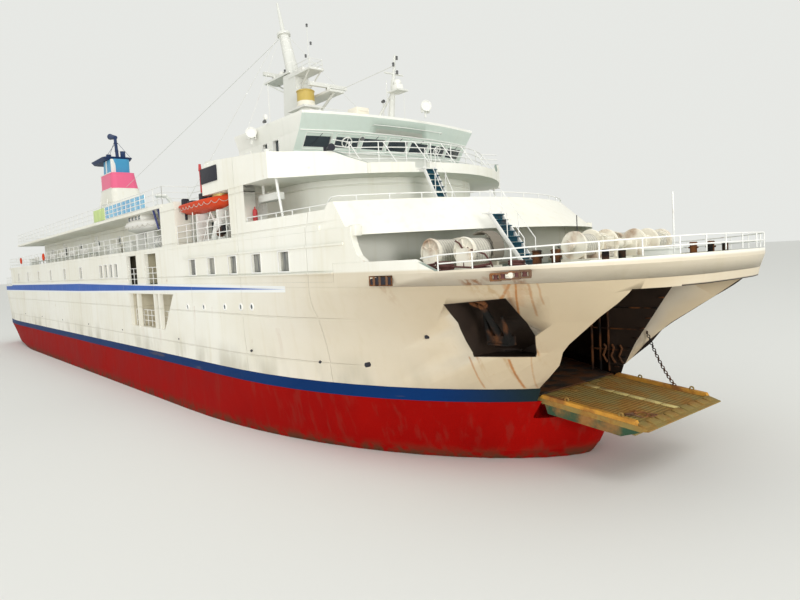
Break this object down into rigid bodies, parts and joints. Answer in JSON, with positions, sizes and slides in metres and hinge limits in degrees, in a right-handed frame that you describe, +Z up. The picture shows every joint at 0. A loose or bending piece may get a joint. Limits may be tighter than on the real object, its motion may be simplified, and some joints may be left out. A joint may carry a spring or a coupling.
{
  "type": "roll-on roll-off passenger ferry, scale model at 1:10",
  "caption": "Car and passenger ferry model: drive-through car deck with bow and stern ramps, saloon deck, bridge with wings, raked mast, banded funnel, twin screws and rudders.",
  "frame": {"origin": "at the waterline, on the centreline, half way along the length overall", "axes": "+X forward to the bow, +Y to port, +Z up"},
  "size_m": [8.68, 1.531, 2.7318],
  "materials": {
    "antifouling_red": "matt antifouling paint, a little worn",
    "boot_blue": "satin paint",
    "ship_white": "satin enamel, slightly yellowed, rust runs",
    "steel_grey": "worn dark deck paint with rust",
    "kerb_yellow": "satin paint",
    "ramp_green": "satin paint, scratched",
    "brow_grey": "satin pale grey-green paint",
    "window_glass": "dark tinted glass",
    "funnel_red": "gloss paint",
    "funnel_blue": "gloss paint",
    "funnel_dark": "satin paint, sooted",
    "bronze": "polished bronze gone dull",
    "rescue_orange": "gloss moulded plastic",
    "boat_white": "gloss moulded plastic",
    "reel_cream": "worn cream paint with rust",
    "stair_blue": "satin paint",
    "anchor_black": "black paint over cast iron"
  },
  "bodies": {
    "ship": {"hull_bottom": "antifouling_red", "hull_band_starboard": "boot_blue", "hull_band_port": "boot_blue", "hull_band_bow_starboard": "boot_blue", "hull_band_bow_port": "boot_blue", "hull_sides": "ship_white", "car_deck": "steel_grey", "main_deck": "ship_white", "foredeck": "ship_white", "saloon_walls": "ship_white", "boat_deck": "ship_white", "cabin_walls": "ship_white", "bridge_deck": "ship_white", "wheelhouse_walls": "ship_white", "wheelhouse_glass": "window_glass", "wheelhouse_roof": "brow_grey", "main_mast": "ship_white", "roof_mast": "ship_white", "satellite_drum": "kerb_yellow", "funnel_base": "ship_white", "funnel_red_band": "funnel_red", "funnel_blue_band": "funnel_blue", "funnel_cap": "funnel_dark", "rescue_boat": "rescue_orange", "rescue_boat_chocks": "steel_grey", "lifeboat_starboard": "boat_white", "lifeboat_port": "boat_white", "lifeboat_chocks_starboard": "steel_grey", "lifeboat_chocks_port": "steel_grey", "raft_rack_starboard": "boat_white", "raft_rack_port": "boat_white", "davit_seat": "ship_white", "mooring_winch_starboard": "reel_cream", "mooring_winch_port": "reel_cream", "rope_reel_1": "reel_cream", "rope_reel_2": "reel_cream", "rope_reel_3": "reel_cream", "rope_reel_4": "reel_cream", "rope_reel_5": "reel_cream", "bollards_starboard": "anchor_black", "bollards_port": "anchor_black", "ladder_upper": "stair_blue", "ladder_lower": "stair_blue", "anchor_starboard": "anchor_black", "anchor_port": "anchor_black"},
    "bow_ramp": {"bow_ramp_plate": "steel_grey", "bow_ramp_side_starboard": "ramp_green", "bow_ramp_side_port": "ramp_green", "bow_ramp_kerb_starboard": "kerb_yellow", "bow_ramp_kerb_port": "kerb_yellow"},
    "stern_ramp": {"stern_ramp": "steel_grey"},
    "propeller_starboard": {"propeller_starboard": "bronze"},
    "propeller_port": {"propeller_port": "bronze"},
    "rudder_starboard": {"rudder_starboard": "antifouling_red"},
    "rudder_port": {"rudder_port": "antifouling_red"},
    "radar_fore": {"radar_fore": "ship_white"},
    "radar_aft": {"radar_aft": "ship_white"},
    "rescue_davit": {"rescue_davit": "ship_white"}
  },
  "joints": [
    {"name": "bow_ramp_hinge", "type": "hinge", "parent": "ship", "child": "bow_ramp", "pos_m": [3.73, 0, 0.252], "axis": [0, -1, 0], "range_deg": [-3, 95]},
    {"name": "stern_ramp_hinge", "type": "hinge", "parent": "ship", "child": "stern_ramp", "pos_m": [-4.33, 0, 0.278], "axis": [0, -1, 0], "range_deg": [0, 100]},
    {"name": "propeller_starboard_spin", "type": "hinge", "parent": "ship", "child": "propeller_starboard", "pos_m": [-3.66, -0.27, -0.175], "axis": [1, 0, 0], "continuous": true},
    {"name": "propeller_port_spin", "type": "hinge", "parent": "ship", "child": "propeller_port", "pos_m": [-3.66, 0.27, -0.175], "axis": [1, 0, 0], "continuous": true},
    {"name": "rudder_starboard_turn", "type": "hinge", "parent": "ship", "child": "rudder_starboard", "pos_m": [-3.86, -0.27, -0.2], "axis": [0, 0, 1], "range_deg": [-35, 35]},
    {"name": "rudder_port_turn", "type": "hinge", "parent": "ship", "child": "rudder_port", "pos_m": [-3.86, 0.27, -0.2], "axis": [0, 0, 1], "range_deg": [-35, 35]},
    {"name": "radar_fore_spin", "type": "hinge", "parent": "ship", "child": "radar_fore", "pos_m": [2.06, 0.05, 1.8], "axis": [0, 0, 1], "continuous": true},
    {"name": "radar_aft_spin", "type": "hinge", "parent": "ship", "child": "radar_aft", "pos_m": [1.54, 0, 1.985], "axis": [0, 0, 1], "continuous": true},
    {"name": "rescue_davit_turn", "type": "hinge", "parent": "ship", "child": "rescue_davit", "pos_m": [1.675, -0.595, 1], "axis": [0, 0, 1], "range_deg": [-110, 0]}
  ]
}
